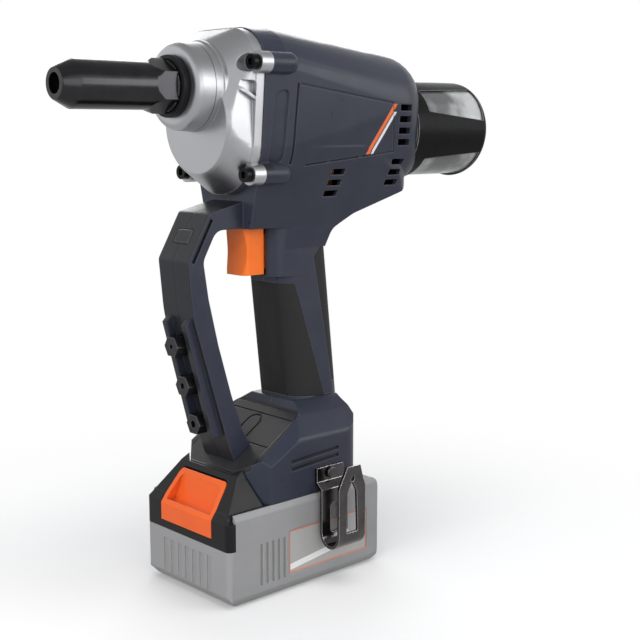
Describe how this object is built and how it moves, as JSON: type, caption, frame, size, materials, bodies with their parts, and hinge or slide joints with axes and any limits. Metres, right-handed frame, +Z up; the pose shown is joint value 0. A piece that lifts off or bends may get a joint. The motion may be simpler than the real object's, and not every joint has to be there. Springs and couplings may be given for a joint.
{
  "type": "battery rivet tool",
  "caption": "Pistol-grip battery rivet tool with a black nose, cast gear case, closed guard bow with spare nosepieces, clear mandrel container and slide-on battery pack.",
  "frame": {"origin": "centre of the battery pack's flat bottom, on which the tool stands", "axes": "+X from the nose towards the rear container, +Y towards the tool's right side, +Z up"},
  "size_m": [0.311, 0.1023, 0.3255],
  "materials": {
    "navy_shell": "satin",
    "grip_rubber": "matte",
    "black_plastic": "satin",
    "cast_aluminium": "satin cast",
    "black_steel": "black oxide",
    "bright_steel": "ground",
    "hook_steel": "dark spring steel",
    "bronze": "sintered",
    "laminations": "stacked sheet",
    "copper": "enamelled wire",
    "clear_plastic": "clear smoky plastic",
    "light_lens": "frosted",
    "circuit_board": "coated",
    "terminals": "plated",
    "orange_plastic": "gloss",
    "pack_grey": "satin",
    "cell": "wrapped cell"
  },
  "bodies": {
    "tool": {"left_shell": "navy_shell", "right_shell": "navy_shell", "left_grip": "grip_rubber", "right_grip": "grip_rubber", "foot_cover": "black_plastic", "shell_screws": "black_steel", "gear_case": "cast_aluminium", "case_screws": "black_steel", "bearing_plate": "cast_aluminium", "nose_housing": "black_steel", "nose_ring": "black_plastic", "nosepiece": "black_steel", "spare_nosepieces": "black_steel", "thrust_bearing": "bright_steel", "nut_bearing": "bright_steel", "idler_bushings": "bronze", "motor_stator": "laminations", "motor_windings": "copper", "front_motor_bearing": "bright_steel", "rear_motor_bearing": "bright_steel", "mandrel_tube": "bright_steel", "trigger_spring": "bright_steel", "trigger_switch": "black_plastic", "led_lens": "light_lens", "led_board": "circuit_board", "control_board": "circuit_board", "terminal_block": "terminals", "belt_hook": "hook_steel", "hook_screw": "hook_steel"},
    "trigger": {"trigger": "orange_plastic"},
    "nut": {"ball_nut": "bright_steel", "nut_gear": "bright_steel"},
    "puller": {"pull_screw": "bright_steel", "jaw_case": "bright_steel", "jaws": "black_steel", "jaw_pusher": "bright_steel", "jaw_spring": "bright_steel", "guide_block": "black_plastic"},
    "idler": {"idler_gear": "bright_steel"},
    "rotor": {"motor_rotor": "laminations", "motor_shaft": "bright_steel", "motor_pinion": "bright_steel", "motor_fan": "black_plastic"},
    "container": {"container_frame": "black_plastic", "container_window": "clear_plastic"},
    "ring": {"hanging_ring": "bright_steel"},
    "pack": {"pack_case": "pack_grey", "pack_cover": "black_plastic", "button_spring": "bright_steel", "pack_cells": "cell", "pack_board": "circuit_board", "pack_terminals": "terminals", "pack_screws": "black_steel"},
    "button": {"pack_button": "orange_plastic"}
  },
  "joints": [
    {"name": "trigger_pull", "type": "slide", "parent": "tool", "child": "trigger", "axis": [1, 0, 0], "range_m": [0, 0.006], "stiffness_N_per_m": 400, "springref_m": -0.003, "deforming": ["trigger_spring"]},
    {"name": "nut_spin", "type": "hinge", "parent": "tool", "child": "nut", "pos_m": [0, 0, 0.2925], "axis": [1, 0, 0], "range_deg": [0, 1800]},
    {"name": "pull_stroke", "type": "slide", "parent": "tool", "child": "puller", "axis": [1, 0, 0], "range_m": [0, 0.0251]},
    {"name": "idler_spin", "type": "hinge", "parent": "tool", "child": "idler", "pos_m": [0, 0.011, 0.26033], "axis": [1, 0, 0], "range_deg": [-5001, 0]},
    {"name": "rotor_spin", "type": "hinge", "parent": "tool", "child": "rotor", "pos_m": [0, 0, 0.24484], "axis": [1, 0, 0], "range_deg": [0, 10835]},
    {"name": "container_off", "type": "slide", "parent": "tool", "child": "container", "axis": [1, 0, 0], "range_m": [0, 0.08]},
    {"name": "ring_fold", "type": "hinge", "parent": "tool", "child": "ring", "pos_m": [0.019, 0, 0.3195], "axis": [0, -1, 0], "range_deg": [0, 95]},
    {"name": "pack_off", "type": "slide", "parent": "tool", "child": "pack", "axis": [-1, 0, 0], "range_m": [0, 0.13]},
    {"name": "button_press", "type": "slide", "parent": "pack", "child": "button", "axis": [1, 0, 0], "range_m": [0, 0.0025], "stiffness_N_per_m": 800, "springref_m": -0.002, "deforming": ["button_spring"]}
  ],
  "couplings": [
    {"joint": "pull_stroke", "follows": "nut_spin", "m_per_rad": 0.00079577},
    {"joint": "idler_spin", "follows": "nut_spin", "ratio": -2.7778},
    {"joint": "rotor_spin", "follows": "nut_spin", "ratio": 6.0185}
  ]
}
